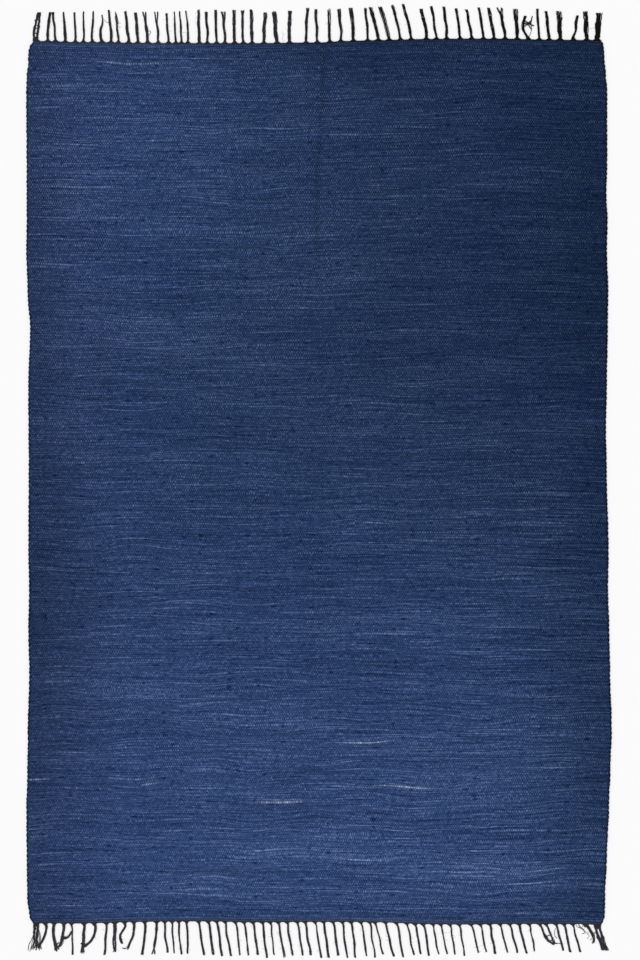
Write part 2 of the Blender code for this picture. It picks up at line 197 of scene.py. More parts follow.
WARP_ENDS = 505
WEAVE_SEED = 31
BOUND_PICKS = 2.6  # the dark warp covers the cloth's first and last picks
ROWS_PER_PICK = 3  # a groove and the two sides of the rib's crown
CLOSEST_ROWS = 0.0004
TOP_COLUMNS = 54
UNDER_COLUMNS = 12
CREASE_COLUMNS = (-0.022, -0.010, -0.004, 0.000, 0.004, 0.010, 0.022)
NOISE_START = 0.62  # noise across the rug is counted from just outside its left edge
CREASE_CLEAR = 0.004  # the even columns keep this far from the fold's own
CREASE_DEPTH = 0.0009
CREASE_WIDTH = 0.006
CREASE_LIP = 0.0003  # the cloth stands up by this much beside the fold
CREASE_LIP_PLACE = 0.014
FOLD_SHADE_HALF_WIDTH = 0.005  # half width of the painted shade along the fold
CREASE_DRIFT = 0.008  # the painted fold shade wanders this far to either side of the fold
CREASE_SWING = 0.36  # and crosses over within this length
LOOP_ROUNDNESS = 0.6
LOOP_UNEVEN = 0.0004
RIM_NOTCH = 0.0007
RIM_DARK = 0.0055  # the rim's darker line starts this far in: partly its own dark warp, partly painted shade
RIM_DARK_FADE = 0.0035

Wave = namedtuple("Wave", "size picks length")
# Unevenness: how much, and over how many picks and what length of the rug's width.
SHARED_WANDER = [Wave(0.0030, 15, 0.12), Wave(0.0032, 5, 0.08)]
OWN_WANDER = [Wave(0.0013, 2.2, 0.06), Wave(0.0006, 1, 0.10)]
RAG_LUMP = Wave(0.0004, 1, 0.033)
BROAD_LUMP = Wave(0.0002, 22, 0.11)
GROOVE_DEPTH = 0.0012
GROOVE_SPREAD = Wave(0.0007, 1 / 1.7, 0.040)  # 1.7 to a pick
STRAIGHT_ENDS = 30.0  # the straying comes in over one part in this many from each end

Blend = namedtuple("Blend", "amount start end")
LOOSER_NEAR = Blend(0.3, 0.42, 0.22)  # the shared waves grow towards the near end
# Parts of the painted broad light and shade that come in along the rug, and the shares of its length
# between which they do.
FAR_RIGHT_DARKER = Blend(0.80, 0.28, 0.78)
NEAR_RIGHT_DARKER = Blend(0.50, 0.70, 0.45)
NEAR_END_LIGHTER = Blend(0.48, 0.50, 0.07)
FAR_END_LIGHTER = Blend(0.20, 0.60, 0.95)
EDGE_WIDER = Blend(0.09, 0.60, 0.35)
LEFT_DARKER = Blend(0.15, 0.60, 0.30)
RIGHT_DARKER = Blend(0.30, 0.80, 0.30)
NEAR_CORNER_DARKER = Blend(0.06, 0.30, 0.15)
BOTH_CORNERS_LIGHTER = Blend(0.06, 0.24, 0.08)
# How far in from the sides the painted shade reaches, and how deep it is at each side.
EDGE_REACH = 0.10
LEFT_DEPTH = 0.25
RIGHT_DEPTH = 0.02
FAR_RIGHT_START = 0.19  # share of the width from which the far half gets darker
NEAR_RIGHT_START = 0.65
LIGHTER_CURVE = 1.2
# A painted darker patch near the far end, and painted shade along both ends.
PATCH_DEPTH = 0.20
PATCH_X = 0.14
PATCH_WIDTH = 0.20
PATCH_LENGTH = 0.22
FAR_EDGE_DEPTH = 0.12
FAR_EDGE_REACH = 0.06
NEAR_EDGE_DEPTH = 0.17
NEAR_EDGE_REACH = 0.11

Rim = namedtuple("Rim", "inset height loop")
# The rounded selvedge, from the upper shoulder to the lower one: distance in from the edge, height,
# and how much of the weft loop's in-and-out shows there.
RIM = [
    Rim(0.0026, 0.0044, 0.35),
    Rim(0.0008, 0.0034, 0.85),
    Rim(0.0000, 0.0022, 1.00),
    Rim(0.0009, 0.0010, 0.90),
    Rim(0.0040, 0.0002, 0.20),
]

Pale = namedtuple("Pale", "x station length strength")
# Undyed stretches of rag: middle, distance from the far end, length, and how white.
PALE_STRETCHES = [
    Pale(-0.423, 0.0413, 0.055, 0.60),
    Pale(-0.350, 0.0434, 0.080, 0.30),
    Pale(0.115, 0.2960, 0.030, 0.50),
    Pale(-0.027, 0.4020, 0.120, 0.30),
    Pale(0.102, 1.4490, 0.075, 1.00),
    Pale(-0.585, 1.5250, 0.045, 0.70),
    Pale(-0.347, 1.5330, 0.035, 0.70),
    Pale(0.184, 1.5420, 0.105, 0.80),
    Pale(-0.077, 1.5750, 0.080, 0.80),
]


def smooth_step(value):
    """0 at 0 and 1 at 1, with no slope at either. Takes numbers and arrays."""
    value = np.clip(value, 0.0, 1.0)
    return value * value * (3.0 - 2.0 * value)


def read_table(rows, column, place):
    """A named column of a table at places along its first column, eased between rows."""
    stations = np.array([row[0] for row in rows])
    values = np.array([getattr(row, column) for row in rows])
    place = np.clip(place, stations[0], stations[-1])
    above = np.clip(np.searchsorted(stations, place), 1, len(rows) - 1)
    share = (place - stations[above - 1]) / (stations[above] - stations[above - 1])
    return values[above - 1] + (values[above] - values[above - 1]) * smooth_step(share)


def end_y(x, side):
    """Y of the cloth's FAR or NEAR end at X."""
    column = "far" if side == FAR else "near"
    return side * (WOVEN_LENGTH / 2 + read_table(ENDS, column, x))


def edge_x(share, side):
    """X of the RIGHT or LEFT selvedge at a share of the length from the near end."""
    column = "right" if side == RIGHT else "left"
    return side * (HALF_WIDTH + read_table(SELVEDGES, column, (1.0 - share) * WOVEN_LENGTH))


def pick_shift(x, share):
    """How far a pick at this share of the length is pushed along Y: ripples, and a bow at one side."""
    inside = smooth_step(END_EASE * share) * smooth_step(END_EASE * (1.0 - share))
    from_near = share * WOVEN_LENGTH
    crosswise = np.sin(RIPPLE_ACROSS * x + RIPPLE_DRIFT * share)
    ripple = RIPPLE * crosswise * np.sin(RIPPLE_ALONG * share + RIPPLE_SLANT * x)
    outward = smooth_step((x - BOW_START) / (HALF_WIDTH - BOW_START))
    bow = BOW_SIDE * outward * np.exp(-(((from_near - BOW_CENTRE) / BOW_REACH) ** 2))
    return inside * (ripple + bow)


def crease_strength(share):
    """1 along the storage fold, fading to 0 before the middle of the rug."""
    return smooth_step(((share - 1.0) * WOVEN_LENGTH + CREASE_LENGTH) / CREASE_FADE)


def centring():
    """How far the solids were moved to stand over the origin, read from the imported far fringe."""
    low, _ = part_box("fringe_far")
    across = np.linspace(-HALF_WIDTH, HALF_WIDTH, 1201)
    shift_x = low.x - (edge_x(1.0, LEFT) - HEADING_OVERHANG)
    shift_y = low.y - (end_y(across, FAR).min() + GAP)
    return np.array([float(shift_x), float(shift_y), 0.0])


CENTRING = centring()


def tube(first, rows, ring):
    """Point numbers of a tube's rings, counted from the first, and the quads between the rings."""
    number = first + np.arange(rows * ring).reshape(rows, ring)
    ahead = np.roll(number, -1, axis=1)
    return number, np.stack([number[:-1], ahead[:-1], ahead[1:], number[1:]], axis=-1).reshape(-1, 4)


def store_map(mesh, name, corners):
    """A named map with two values for each face corner."""
    mesh.uv_layers.new(name=name).uv.foreach_set("vector", corners.astype(np.float32).ravel())


def store_mark(mesh, name, values):
    """A named value for each point."""
    layer = mesh.attributes.new(name, "FLOAT", "POINT")
    layer.data.foreach_set("value", values.astype(np.float32).ravel())


def link(name, mesh):
    """A new object in the scene."""
    piece = bpy.data.objects.new(name, mesh)
    bpy.context.scene.collection.objects.link(piece)
    return piece


# ---------------------------------------------------------------- the weave's surface

def soft_noise(dice, down, across):
    """Smooth noise from -1 to 1, at fractional rows and columns of a lattice of random values."""
    down, across = np.broadcast_arrays(down, across)
    lattice = dice.uniform(-1.0, 1.0, (int(down.max()) + 2, int(across.max()) + 2))
    row, column = down.astype(int), across.astype(int)
    part_down, part_across = smooth_step(down - row), smooth_step(across - column)
    near = lattice[row, column] * (1 - part_across) + lattice[row, column + 1] * part_across
    far = lattice[row + 1, column] * (1 - part_across) + lattice[row + 1, column + 1] * part_across
    return near * (1 - part_down) + far * part_down


def groove_shares():
    """Where the grooves between the picks lie, as shares of the length from the near end."""
    dice = random.Random(PICK_SEED)
    widths = [dice.uniform(1.0 - PICK_SPREAD, 1.0 + PICK_SPREAD) for _ in range(PICKS)]
    return np.concatenate([[0.0], np.cumsum(widths)]) / sum(widths)


def ring_columns():
    """Places across of the points on the top, from left to right, and underneath, from right to left."""
    reach = HALF_WIDTH - SHOULDER
    top = np.linspace(-reach, reach, TOP_COLUMNS)
    crease = CREASE_X + np.array(CREASE_COLUMNS)
    clear = np.abs(top - CREASE_X) > crease[-1] - CREASE_X + CREASE_CLEAR
    top = np.sort(np.concatenate([top[clear], crease]))
    under = np.linspace(reach, -reach, UNDER_COLUMNS + 2)[1:-1]
    return top, under


def uneven(dice, wave, picks, x):
    """Noise from -1 to 1 with a wave's spread."""
    return soft_noise(dice, picks / wave.picks, (x + NOISE_START) / wave.length)


def weft_wander(dice, x, picks, share):
    """How far the picks stray along Y: long waves that neighbours share, and each pick's own."""
    waves = sum(wave.size * uneven(dice, wave, picks, x) for wave in SHARED_WANDER)
    own = sum(wave.size * uneven(dice, wave, picks, x) for wave in OWN_WANDER)
    inside = smooth_step(STRAIGHT_ENDS * share) * smooth_step(STRAIGHT_ENDS * (1.0 - share))
    return inside * (waves * (1.0 + blend(LOOSER_NEAR, share)) + own)


def on_crown(picks):
    """Whether a row of points is one of the two middle rows of its pick."""
    return np.abs((picks % 1.0) - 0.5) < 0.3


def surface_height(dice, x, picks, share, upper):
    """Height of points of one face. Upper is True for the top face, False for the underside."""
    rag = 0.5 + 0.5 * uneven(dice, RAG_LUMP, picks, x)
    broad = 0.5 + 0.5 * uneven(dice, BROAD_LUMP, picks, x)
    groove = GROOVE_DEPTH + GROOVE_SPREAD.size * uneven(dice, GROOVE_SPREAD, picks, x)
    sunk = np.where(on_crown(picks), 0.0, groove) + RAG_LUMP.size * rag + BROAD_LUMP.size * broad
    if not upper:
        return sunk
    crease = crease_strength(share)
    off = np.abs(x - CREASE_X)
    sunk = sunk + crease * CREASE_DEPTH * np.exp(-((off / CREASE_WIDTH) ** 2))
    sunk = sunk - crease * CREASE_LIP * np.exp(-(((off - CREASE_LIP_PLACE) / CREASE_WIDTH) ** 2))
    return THICKNESS - np.maximum(sunk, 0.0)


def make_rag_weave():
    """The woven cloth as one closed surface: a ring of points for each third of a pick.

    A ring runs over the top from left to right, round the right rim, back underneath and up the left rim.
    """
    dice = np.random.default_rng(WEAVE_SEED)
    picks = np.arange(ROWS_PER_PICK * PICKS + 1)[:, None] / ROWS_PER_PICK
    share = np.interp(picks, np.arange(PICKS + 1), groove_shares())
    left, right = edge_x(share, LEFT), edge_x(share, RIGHT)
    top, under = ring_columns()
    reach = HALF_WIDTH - SHOULDER

    def placed(places):
        """Nominal places across, moved with the two uneven edges."""
        part = (places[None, :] + reach) / (2 * reach)
        return places + part * (right - HALF_WIDTH) + (1 - part) * (left + HALF_WIDTH)

    def rim(side):
        """Places across of one selvedge, with the loops of the weft in it."""
        edge = right if side == RIGHT else left
        turn = np.pi * picks + (np.pi if side == RIGHT else 0.0)
        loop = LOOP_DEPTH * (1.0 - np.abs(np.cos(turn / 2)) ** LOOP_ROUNDNESS)
        loop = loop + LOOP_UNEVEN * soft_noise(dice, picks / 2, picks * 0)
        inset = np.array([row.inset for row in RIM])
        share_of_loop = np.array([row.loop for row in RIM])
        return edge - side * (inset + share_of_loop * loop)

    heights = np.array([row.height for row in RIM])
    rim_z = heights - np.where(on_crown(picks), 0.0, RIM_NOTCH) * (heights > THICKNESS / 2)
    top_x, under_x = placed(top), placed(under)
    top_z = surface_height(dice, top_x, picks, share, True)
    under_z = surface_height(dice, under_x, picks, share, False)
    right_x, left_x = rim(RIGHT), rim(LEFT)[:, ::-1]
    x = np.concatenate([top_x, right_x, under_x, left_x], axis=1)
    z = np.concatenate([top_z, rim_z, under_z, rim_z[:, ::-1]], axis=1)

    near, far = end_y(x, NEAR), end_y(x, FAR)
    y = near + (far - near) * share + pick_shift(x, share) + weft_wander(dice, x, picks, share)
    spacing = CLOSEST_ROWS * np.arange(len(y))[:, None]
    y = np.maximum.accumulate(y - spacing, axis=0) + spacing
    points = np.stack([x, y, z], axis=-1) + CENTRING

    number, quads = tube(0, *x.shape)
    outermost = len(top) + len(RIM) // 2
    caps = [
        *end_cap(x[0], number[0], outermost, False),
        *end_cap(x[-1], number[-1], outermost, True),
    ]

    mesh = bpy.data.meshes.new("rag_weave")
    mesh.from_pydata(points.reshape(-1, 3), [], quads.tolist() + caps)
    lay_weave_map(mesh, x, z, picks, quads, caps)
    store_marks(mesh, x, y, picks, share, left, right, outermost)
    mesh.shade_smooth()
    mesh.validate()
    return link("rag_weave", mesh)


def end_cap(x, number, outermost, far):
    """Triangles that close one end, walking the upper and the lower half of its ring together."""
    over = list(range(outermost + 1))
    below = [0, *range(len(number) - 1, len(over) - 2, -1)]
    faces, one, other = [], 0, 0
    while one < len(over) - 1 or other < len(below) - 1:
        step_over = other == len(below) - 1 or (
            one < len(over) - 1
            and x[over[one]] + x[over[one + 1]] < x[below[other]] + x[below[other + 1]]
        )
        ahead = over[one + 1] if step_over else below[other + 1]
        face = [number[over[one]], number[ahead], number[below[other]]]
        if len(set(face)) == 3:
            faces.append([int(n) for n in (face if far else face[::-1])])
        if step_over:
            one += 1
        else:
            other += 1
    return faces


def lay_weave_map(mesh, x, z, picks, quads, caps):
    """The weave's own map: U counts warp ends along the ring, V counts picks."""
    gaps = np.hypot(np.diff(x, axis=1, append=x[:, :1]), np.diff(z, axis=1, append=z[:, :1]))
    pitch = 2 * HALF_WIDTH / WARP_ENDS
    along = np.concatenate([np.zeros((len(x), 1)), np.cumsum(gaps, axis=1)], axis=1) / pitch
    ring = x.shape[1]
    row, column = quads[:, 0] // ring, quads[:, 0] % ring
    v = picks[:, 0]
    steps = [(0, 0), (0, 1), (1, 1), (1, 0)]
    corners = np.array([[along[row + down, column + over], v[row + down]] for down, over in steps])
    flat = [[along[n // ring, n % ring], v[n // ring]] for face in caps for n in face]
    store_map(mesh, "weave", np.concatenate([corners.transpose(2, 0, 1).reshape(-1, 2), flat]))


def store_marks(mesh, x, y, picks, share, left, right, outermost):
    """Point values for the material: undyed stretches, nearness to the rim and the fold (for painted
    shade), and painted broad light and shade.
    """
    pale = np.zeros(x.shape)
    inside = on_crown(picks) & (np.arange(x.shape[1])[None, :] < outermost)
    for stretch in PALE_STRETCHES:
        column = np.argmin(np.abs(x[0, :outermost] - stretch.x))
        row = np.argmin(np.abs(y[:, column] - (WOVEN_LENGTH / 2 - stretch.station)))
        pick = np.floor(picks[row, 0])
        window = smooth_step(1.5 - 2.0 * np.abs(x - stretch.x) / stretch.length)
        pale += stretch.strength * window * inside * (np.floor(picks) == pick)
    inset = np.minimum(x - left, right - x)
    rim = smooth_step((RIM_DARK - inset) / RIM_DARK_FADE)
    # Painted shade along the fold, wandering about the crease in the surface.
    drift = CREASE_DRIFT * np.cos(np.pi * (1.0 - share) * WOVEN_LENGTH / CREASE_SWING)
    off = np.abs(x - CREASE_X - drift)
    fold = crease_strength(share) * np.exp(-((off / FOLD_SHADE_HALF_WIDTH) ** 2))
    shade = painted_light_and_shade(x, share)
    from_end = np.minimum(picks, PICKS - picks)
    bound = smooth_step(1.0 - from_end / BOUND_PICKS)
    marks = {"pale": pale, "rim": rim, "fold": fold, "shade": shade, "bound": bound}
    for name, values in marks.items():
        store_mark(mesh, name, np.broadcast_to(values, x.shape))


def blend(row, share):
    """How much of something that comes in along the rug there is at a share of its length."""
    return row.amount * smooth_step((share - row.start) / (row.end - row.start))


def painted_light_and_shade(x, share):
    """Painted light and shade: how strong the colour looks over the whole rug.

    It is lighter near the near end and darker far right, and darker towards every edge, most of all along
    the sides of the near half.
    """
    across = (x + HALF_WIDTH) / (2 * HALF_WIDTH)
    from_near, from_far = share * WOVEN_LENGTH, (1.0 - share) * WOVEN_LENGTH
    shade = 1.0 - blend(FAR_RIGHT_DARKER, share) * np.clip(across - FAR_RIGHT_START, 0.0, 1.0)
    shade = shade * (1.0 - blend(NEAR_RIGHT_DARKER, share) * np.clip(across - NEAR_RIGHT_START, 0.0, 1.0))
    nearer = (share - NEAR_END_LIGHTER.start) / (NEAR_END_LIGHTER.end - NEAR_END_LIGHTER.start)
    shade = shade * (1.0 + NEAR_END_LIGHTER.amount * np.clip(nearer, 0.0, 1.0) ** LIGHTER_CURVE)
    shade = shade * (1.0 + blend(FAR_END_LIGHTER, share))
    reach = EDGE_REACH + blend(EDGE_WIDER, share)
    lighter = blend(BOTH_CORNERS_LIGHTER, share)
    left = LEFT_DEPTH + blend(LEFT_DARKER, share) - lighter
    right = RIGHT_DEPTH + blend(RIGHT_DARKER, share) + blend(NEAR_CORNER_DARKER, share) - lighter
    for depth, inset in ((left, x + HALF_WIDTH), (right, HALF_WIDTH - x)):
        shade = shade * (1.0 - depth * (1.0 - np.clip(inset / reach, 0.0, 1.0)))
    patch = PATCH_DEPTH * np.exp(-(((x - PATCH_X) / PATCH_WIDTH) ** 2))
    patch = patch * (1.0 - smooth_step(from_far / PATCH_LENGTH))
    far_edge = FAR_EDGE_DEPTH * (1.0 - smooth_step(from_far / FAR_EDGE_REACH))
    near_edge = NEAR_EDGE_DEPTH * (1.0 - smooth_step(from_near / NEAR_EDGE_REACH))
    return shade * (1.0 - patch) * (1.0 - far_edge) * (1.0 - near_edge)


# ---------------------------------------------------------------- yarns

class Yarns:
    """Collects yarns, each a closed tube, into one mesh with a map that runs round and along them."""

    def __init__(self):
        self.points, self.quads, self.caps = [], [], []
        self.quad_corners, self.cap_corners, self.tones = [], [], []
        self.count = 0

    def add(self, path, radii, sides, tone):
        """A tube along a path of points, with a radius at each, and one tone or one at each."""
        path = np.asarray(path, float)
        radii = np.broadcast_to(np.asarray(radii, float), len(path))
        steps = np.gradient(path, axis=0)
        steps /= np.linalg.norm(steps, axis=1)[:, None]
        normals = np.empty_like(path)
        normal = np.array([0.0, 0.0, 1.0]) if abs(steps[0, 2]) < 0.9 else np.array([1.0, 0.0, 0.0])
        for number, step in enumerate(steps):
            normal = normal - (normal @ step) * step
            normal /= np.linalg.norm(normal)
            normals[number] = normal
        others = np.cross(steps, normals)
        angles = 2 * np.pi * np.arange(sides) / sides
        up, sideways = np.cos(angles)[None, :, None], np.sin(angles)[None, :, None]
        rings = path[:, None] + radii[:, None, None] * (up * normals[:, None] + sideways * others[:, None])
        number, quads = tube(self.count, len(path), sides)
        self.quads.append(quads)
        along = np.concatenate([[0.0], np.cumsum(np.linalg.norm(np.diff(path, axis=0), axis=1))])
        low, high = np.arange(sides) / sides, (np.arange(sides) + 1.0) / sides
        here, there = along[:-1, None], along[1:, None]
        pairs = [(low, here), (high, here), (high, there), (low, there)]
        corners = [np.stack(np.broadcast_arrays(*pair), axis=-1) for pair in pairs]
        self.quad_corners.append(np.stack(corners, axis=-2).reshape(-1, 2))
        for ring, end in ((number[0][::-1], 0.0), (number[-1], along[-1])):
            for corner in range(1, sides - 1):
                self.caps.append([int(ring[0]), int(ring[corner]), int(ring[corner + 1])])
                self.cap_corners += [[0.0, end]] * 3
        self.points.append(rings.reshape(-1, 3))
        self.tones.append(np.repeat(np.broadcast_to(tone, len(path)), sides))
        self.count += len(path) * sides

    def make(self, name):
        """The object that holds every yarn added so far."""
        mesh = bpy.data.meshes.new(name)
        quads = np.concatenate(self.quads)
        mesh.from_pydata(np.concatenate(self.points) + CENTRING, [], quads.tolist() + self.caps)
        store_map(mesh, "yarn", np.concatenate([*self.quad_corners, np.array(self.cap_corners)]))
        store_mark(mesh, "tone", np.concatenate(self.tones))
        mesh.shade_smooth()
        return link(name, mesh)


YARN_RADIUS = 0.00066
TWINE_RADIUS = 0.00066
YARN_SIDES = 5
YARN_STEPS = 12
YARN_PITCH = 0.00055  # width of a strand for each yarn in it
YARN_GIRTHS = (0.9, 1.15)
YARN_FUZZ = 0.00012
YARN_START = 0.0008  # beyond the gap to the cloth
FEWEST_YARNS = 5
STEP_CURVE = 1.15  # the points of a yarn lie closer together near its root
LEAST_HALF = 0.0006
KINK = 0.0008
TAPER = 0.6  # the tip of a far strand is narrower by up to this share
TWIST = 0.8  # turns
TIP_SPREAD = 0.0007
FRAYED_SPREAD = 0.0016
TIP_STAGGER = 0.03  # yarns end early by up to this share of their length
FRAYED_STAGGER = 0.16
LOOSE_START = 0.72  # share of a strand from which its yarns loosen
LOOSE_LIFT = (-0.0003, 0.0006)
CORE = 0.40  # every third yarn lies this far out from a strand's middle, the others at 1
NECK = 0.75  # a strand is this narrow at its root
NECK_REACH = 0.012
STRAND_TONE = 0.3
YARN_TONE = 0.4
FLARE_YARNS = 11
FLARE_HALF = 0.0085  # the outermost yarns leave the cloth this far to either side of their strand
FLARE_REACH = 0.0068  # they have drawn together this far from the cloth's end
FLARE_POINTS = 6
FLARE_CURVE = 1.7
FLARE_HEIGHT = 0.0020
FLARE_TIER = 0.0004
FLARE_DROP = 0.0006
FLARE_SCATTER = 0.0006
NEAR_HOOK = 0.0030  # the near strands leave the cloth to the left of where they hang
HOOK_REACH = 0.012
HOOK_FROM, HOOK_TO = -0.33, 0.560  # only strands between these places have it
KNOBS = 0.20  # how much a strand's girth varies along it
FAR_PAINTED_LIGHT = (1.6, -1.1)  # left and right; painted light, lightest on the far fringe's left
FAR_TONE_START = -0.08
FAR_TONE_WIDTH = 0.40
# Painted light: the near fringe, and the heading twine except towards the far right, are painted lighter.
NEAR_TONE = 2.1
HEADING_TONE = 3.1
HEADING_TONE_START = -0.35
HEADING_TONE_WIDTH = 0.55
TWINE_PITCH = 0.0047
TWINE_STEPS = 7  # points for each turn
TWINE_OUT = 0.0009
TWINE_SWAY = 0.0004
TWINE_HEIGHT = 0.0021
TWINE_RISE = 0.0008
HAIRS = 4
FRAYED_HAIRS = 14
HAIR_RADIUS = 0.00013
HAIR_LENGTHS = (0.003, 0.010)
HAIR_POINTS = 7
HAIR_CURL = 2.5  # radians over its length
THREAD_POINTS = 14
THREAD_LIFT = 0.0006

Strand = namedtuple("Strand", "root tip_shift length width tip bend")

# Strands that wander: by their number from -X, places on their way, as X and distance from the cloth. These
# and the loose threads below are in millimetres.
ROUTES = {
    FAR: {
        7: [(-448, 0), (-450, 12), (-450, 27), (-446, 40), (-447, 58)],
        47: [(433, 0), (430, 8), (424, 20), (424, 34), (429, 50)],
        51: [(524, 0), (527, 8), (532, 22), (534, 36), (536, 52)],
    },
    NEAR: {
        1: [(-564, 0), (-562, 8), (-564, 22), (-570, 38), (-577, 51)],
        2: [(-547, 0), (-548, 12), (-547, 30), (-544, 44), (-541, 58)],
        3: [(-527, 0), (-526, 12), (-529, 30), (-533, 44), (-539, 53)],
        6: [(-463, 0), (-460, 9), (-462, 24), (-470, 38), (-484, 51)],
        9: [(-400, 0), (-399, 11), (-405, 21), (-410, 30), (-405, 46)],
        10: [(-381, 0), (-380, 12), (-383, 28), (-388, 42), (-394, 56)],
        54: [(459, 0), (463, 14), (469, 27), (477, 36), (488, 44)],
        55: [(474, 0), (477, 12), (481, 24), (483, 33), (489, 42)],
        59: [(556, 0), (559, 8), (564, 18), (569, 29), (568, 41)],
    },
}

Double = namedtuple("Double", "gap close")
# Strands that are two bundles side by side: how far apart, and where along them they join.
DOUBLES = {
    FAR: {0: Double(0.95, 1.02)},
    NEAR: {0: Double(0.80, 0.65), 60: Double(1.05, 0.66)},
}

# Strands that lie looser and so look wider than their zone's, and by what factor.
SWELLS = {
    FAR: {0: 1.22, 46: 1.15, 50: 1.35, 52: 1.45, 53: 1.12},
    NEAR: {5: 1.15, 8: 1.35, 10: 1.15, 11: 1.35, 59: 1.2},
}

# Strands whose yarns have come apart, from 0 (not at all) to 1.
FRAYS = {
    FAR: {9: 0.9, 17: 0.3, 18: 0.5, 30: 0.7, 36: 0.3, 46: 0.1, 50: 0.2, 51: 0.2, 52: 0.1},
    NEAR: {0: 0.8, 3: 0.5, 5: 0.4, 8: 0.5, 10: 0.3, 18: 0.3, 26: 0.4, 27: 0.4, 59: 0.5},
}

Fork = namedtuple("Fork", "start opening")
# Strands that part in two: where along them it starts, and how far apart the tips are.
FORKS = {
    FAR: {
        12: Fork(0.45, 0.0075),
        13: Fork(0.60, 0.0060),
        21: Fork(0.70, 0.0050),
        23: Fork(0.80, 0.0060),
        45: Fork(0.80, 0.0060),
        52: Fork(0.45, 0.0045),
    },
    NEAR: {
        0: Fork(0.40, 0.0120),
        12: Fork(0.75, 0.0070),
        59: Fork(0.45, 0.0050),
    },
}

Thread = namedtuple("Thread", "radius points")
# Loose threads that cross between strands or curl beside them.
THREADS = {
    FAR: [
        Thread(0.30, [(-446, 53), (-440, 45), (-434, 42), (-431, 39)]),
        Thread(0.45, [(-354, 11), (-350, 18), (-346, 24), (-350, 27), (-354, 22)]),
        Thread(0.20, [(561, 24), (565, 26), (570, 27), (576, 26)]),
        Thread(0.16, [(-72, 4), (-74, 13), (-72, 20), (-75, 26)]),
        Thread(0.60, [(433, 4), (438, 12), (441, 24), (439, 36), (442, 50)]),
        Thread(0.80, [(440, 34), (441, 42), (443, 50)]),
        Thread(1.30, [(423, 41), (430, 38), (437, 33), (446, 30)]),
        Thread(1.10, [(425, 34), (431, 35), (436, 29), (441, 22)]),
        Thread(1.00, [(427, 28), (433, 34), (440, 41)]),
        Thread(1.00, [(426, 36), (431, 31), (437, 36), (441, 30)]),
        Thread(0.80, [(-588, 7), (-583, 10), (-578, 9)]),
        Thread(0.90, [(-588, 19), (-584, 17), (-579, 20)]),
        Thread(0.80, [(-587, 26), (-583, 28), (-577, 26)]),
        Thread(0.80, [(-586, 35), (-582, 33), (-576, 36)]),
        Thread(0.90, [(-587, 44), (-582, 46), (-576, 44)]),
    ],
    NEAR: [
        Thread(1.60, [(-529, 29), (-522, 31), (-516, 28), (-510, 18)]),
        Thread(1.30, [(-530, 32), (-524, 34), (-517, 31), (-510, 22)]),
        Thread(1.30, [(-543, 43), (-540, 49), (-544, 54), (-540, 60)]),
        Thread(1.20, [(-536, 42), (-542, 48), (-536, 56)]),
        Thread(1.40, [(-474, 42), (-481, 46), (-486, 52), (-484, 62)]),
        Thread(1.30, [(-491, 43), (-484, 47), (-479, 48), (-476, 44)]),
        Thread(1.20, [(-489, 48), (-484, 51), (-481, 49)]),
        Thread(1.10, [(-384, 30), (-387, 42), (-391, 52), (-394, 59)]),
        Thread(0.80, [(-391, 50), (-395, 55), (-401, 57), (-405, 55)]),
        Thread(0.90, [(-570, 40), (-576, 46), (-583, 44), (-578, 54)]),
        Thread(0.70, [(-586, 18), (-592, 34), (-598, 46), (-600, 58)]),
        Thread(0.60, [(-583, 4), (-577, 18), (-574, 34), (-579, 52)]),
        Thread(0.60, [(-585, 10), (-578, 22), (-576, 38), (-572, 56)]),
        Thread(0.50, [(-590, 20), (-586, 36), (-592, 52), (-597, 60)]),
        Thread(0.50, [(470, 32), (476, 26), (484, 30), (489, 38), (484, 44)]),
        Thread(0.80, [(466, 28), (474, 36), (482, 36), (486, 30)]),
        Thread(0.90, [(468, 22), (474, 30), (476, 38), (486, 43)]),
        Thread(0.50, [(478, 24), (470, 30), (474, 38), (482, 42)]),
        Thread(1.00, [(472, 32), (479, 38), (487, 42), (494, 42)]),
        Thread(0.80, [(468, 28), (474, 35), (482, 41), (488, 46)]),
        Thread(0.55, [(492, 43), (499, 42), (504, 47)]),
        Thread(0.50, [(493, 8), (489, 16), (489, 26), (494, 32)]),
        Thread(0.40, [(540, 4), (546, 13), (553, 18), (560, 26), (556, 32)]),
        Thread(0.50, [(538, 2), (541, 10), (548, 12), (551, 20), (545, 22)]),
        Thread(0.40, [(532, 1), (536, 8), (544, 9), (548, 3), (541, 1)]),
        Thread(0.50, [(560, 16), (567, 20), (572, 18), (568, 28), (562, 34)]),
    ],
}


def lay_out_strands(zones, seed):
    """Every strand of one fringe, worked out from its zones as in the solids."""
    dice = random.Random(seed)
    strands = []
    for zone in zones:
        middle = (zone.first + zone.last) / 2
        pitch = (zone.last - zone.first) / max(zone.strands - 1, 1)
        for number in range(zone.strands):
            root = zone.first + pitch * number
            root += pitch * PLACE_JITTER * dice.uniform(-1, 1)
            shift = zone.lean + zone.stray * dice.uniform(-1, 1) + zone.gather * (middle - root)
            length = zone.length * dice.uniform(*LENGTH_RANGE)
            width = zone.width * dice.uniform(1.0 - WIDTH_SCATTER, 1.0 + WIDTH_SCATTER)
            bend = WIGGLE * dice.uniform(-1, 1)
            strands.append(Strand(root, shift, length, width, zone.tip, bend))
    return strands


def through(points, places):
    """A smooth line through a few points in millimetres, read at places from 0 to 1 along it."""
    points = np.asarray(points, float) / 1000
    ends = np.array([2 * points[0] - points[1], *points, 2 * points[-1] - points[-2]])
    at = np.clip(np.asarray(places) * (len(points) - 1), 0, len(points) - 1 - 1e-9)
    span = at.astype(int)
    t = (at - span)[:, None]
    a, b, c, d = (ends[span + offset] for offset in range(4))
    return 0.5 * (2 * b + (c - a) * t + (2 * a - 5 * b + 4 * c - d) * t**2 + (3 * b - a - 3 * c + d) * t**3)


